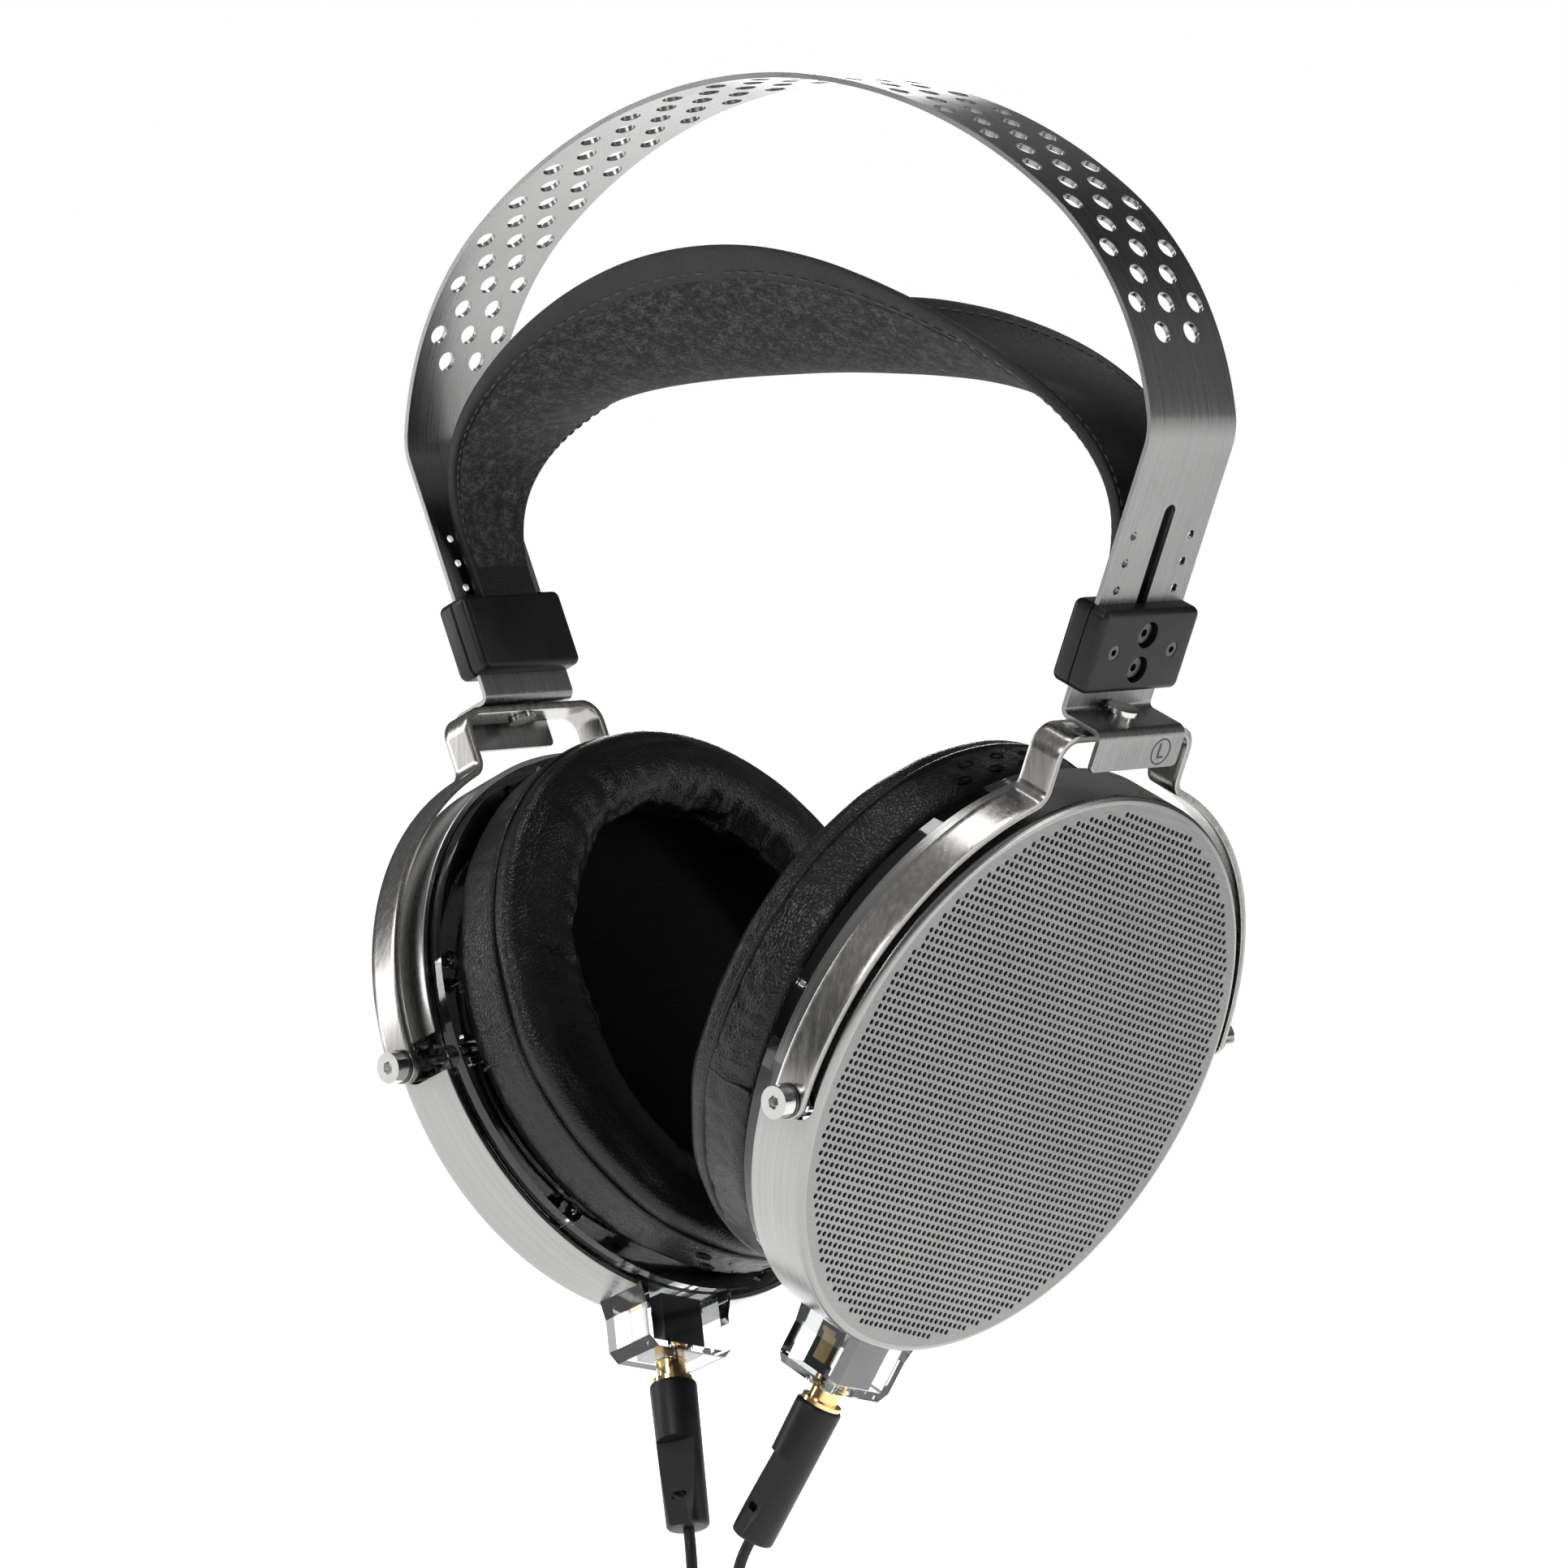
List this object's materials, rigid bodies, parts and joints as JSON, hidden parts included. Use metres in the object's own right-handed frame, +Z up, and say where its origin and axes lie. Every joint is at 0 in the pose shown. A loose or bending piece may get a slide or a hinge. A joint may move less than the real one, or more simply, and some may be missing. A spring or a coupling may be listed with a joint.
{
  "type": "over-ear headphones",
  "caption": "Open-back over-ear headphones: perforated spring-steel headband, suspended leather strap, sliding height blocks, round steel cups in yokes, twin plug-in leads.",
  "frame": {"origin": "middle of the suspension strap's underside, where it rests on the head", "axes": "+Z up, -Y the way the wearer faces, +X to the wearer's left"},
  "size_m": [0.1924, 0.1282, 0.439],
  "materials": {
    "spring_steel": "brushed along the strip, darkly reflecting",
    "bright_steel": "polished machine screws",
    "can_steel": "brushed in straight lines on the perforated face, round the rim on the side",
    "yoke_steel": "polished and lightly brushed strap",
    "black_plastic": "fine matte moulded",
    "rubber_black": "matte",
    "clear_plastic": "clear polished polycarbonate",
    "strap_leather": "fine-grained, soft sheen",
    "strap_felt": "short-napped microfibre",
    "pad_leather": "grained, wrinkled, satin",
    "black_cloth": "thin open weave",
    "gold": "gold-plated, polished",
    "magnet": "nickel-plated",
    "film": "thin metallised film",
    "cord_black": "satin",
    "dark_spacer": "black oxide"
  },
  "bodies": {
    "strap": {"strap_outer": "strap_leather", "strap_lining": "strap_felt"},
    "band": {"headband_spring": "spring_steel", "swivel_rivet_left": "bright_steel", "swivel_rivet_right": "bright_steel", "lead_lower_left": "cord_black", "lead_lower_right": "cord_black", "cable_splitter": "black_plastic", "cord_neck": "cord_black", "cord_coil": "cord_black", "coil_tie": "rubber_black", "cord_tail": "cord_black", "end_plug_sleeve": "black_plastic", "end_plug_pin": "gold"},
    "slider_left": {"slider_outer_half_left": "black_plastic", "slider_inner_half_left": "black_plastic", "slider_clamp_screws_left": "dark_spacer", "detent_plungers_left": "dark_spacer"},
    "yoke_left": {"yoke_left": "yoke_steel", "swivel_washer_left": "rubber_black"},
    "cup_left": {"pivot_screws_left": "bright_steel", "pivot_spacers_left": "dark_spacer", "cup_can_left": "can_steel", "damping_mesh_left": "black_cloth", "driver_frame_left": "black_plastic", "driver_magnets_left": "magnet", "driver_diaphragm_left": "film", "clear_frame_left": "clear_plastic", "frame_screws_left": "bright_steel", "jack_socket_left": "black_plastic", "jack_contacts_left": "gold", "pad_plate_left": "black_plastic", "dust_cloth_left": "black_cloth", "ear_pad_left": "pad_leather", "plug_sleeve_left": "black_plastic", "plug_pin_left": "gold", "lead_upper_left": "cord_black"},
    "slider_right": {"slider_outer_half_right": "black_plastic", "slider_inner_half_right": "black_plastic", "slider_clamp_screws_right": "dark_spacer", "detent_plungers_right": "dark_spacer"},
    "yoke_right": {"yoke_right": "yoke_steel", "swivel_washer_right": "rubber_black"},
    "cup_right": {"pivot_screws_right": "bright_steel", "pivot_spacers_right": "dark_spacer", "cup_can_right": "can_steel", "damping_mesh_right": "black_cloth", "driver_frame_right": "black_plastic", "driver_magnets_right": "magnet", "driver_diaphragm_right": "film", "clear_frame_right": "clear_plastic", "frame_screws_right": "bright_steel", "jack_socket_right": "black_plastic", "jack_contacts_right": "gold", "pad_plate_right": "black_plastic", "dust_cloth_right": "black_cloth", "ear_pad_right": "pad_leather", "plug_sleeve_right": "black_plastic", "plug_pin_right": "gold", "lead_upper_right": "cord_black"}
  },
  "joints": [
    {"name": "height_adjust", "type": "slide", "parent": "strap", "child": "band", "axis": [0, 0, -1], "range_m": [0, 0.01947]},
    {"name": "block_spread_left", "type": "slide", "parent": "strap", "child": "slider_left", "axis": [1, 0, 0], "range_m": [0, 0.0085]},
    {"name": "yoke_swivel_left", "type": "hinge", "parent": "band", "child": "yoke_left", "pos_m": [0.07708, 0, -0.0668], "axis": [0.3955, 0, 0.9184], "range_deg": [-5, 5], "deforming": ["lead_upper_left", "lead_lower_left"]},
    {"name": "cup_tilt_left", "type": "hinge", "parent": "yoke_left", "child": "cup_left", "pos_m": [0.04978, 0, -0.13018], "axis": [0, 1, 0], "range_deg": [-28, 0], "deforming": ["lead_upper_left", "lead_lower_left"]},
    {"name": "block_spread_right", "type": "slide", "parent": "strap", "child": "slider_right", "axis": [-1, 0, 0], "range_m": [0, 0.0085]},
    {"name": "yoke_swivel_right", "type": "hinge", "parent": "band", "child": "yoke_right", "pos_m": [-0.07708, 0, -0.0668], "axis": [-0.3955, 0, 0.9184], "range_deg": [-5, 5], "deforming": ["lead_upper_right", "lead_lower_right"]},
    {"name": "cup_tilt_right", "type": "hinge", "parent": "yoke_right", "child": "cup_right", "pos_m": [-0.04978, 0, -0.13018], "axis": [0, -1, 0], "range_deg": [-28, 0], "deforming": ["lead_upper_right", "lead_lower_right"]}
  ],
  "couplings": [
    {"joint": "block_spread_left", "follows": "height_adjust", "ratio": 0.4307},
    {"joint": "block_spread_right", "follows": "height_adjust", "ratio": 0.4307}
  ]
}
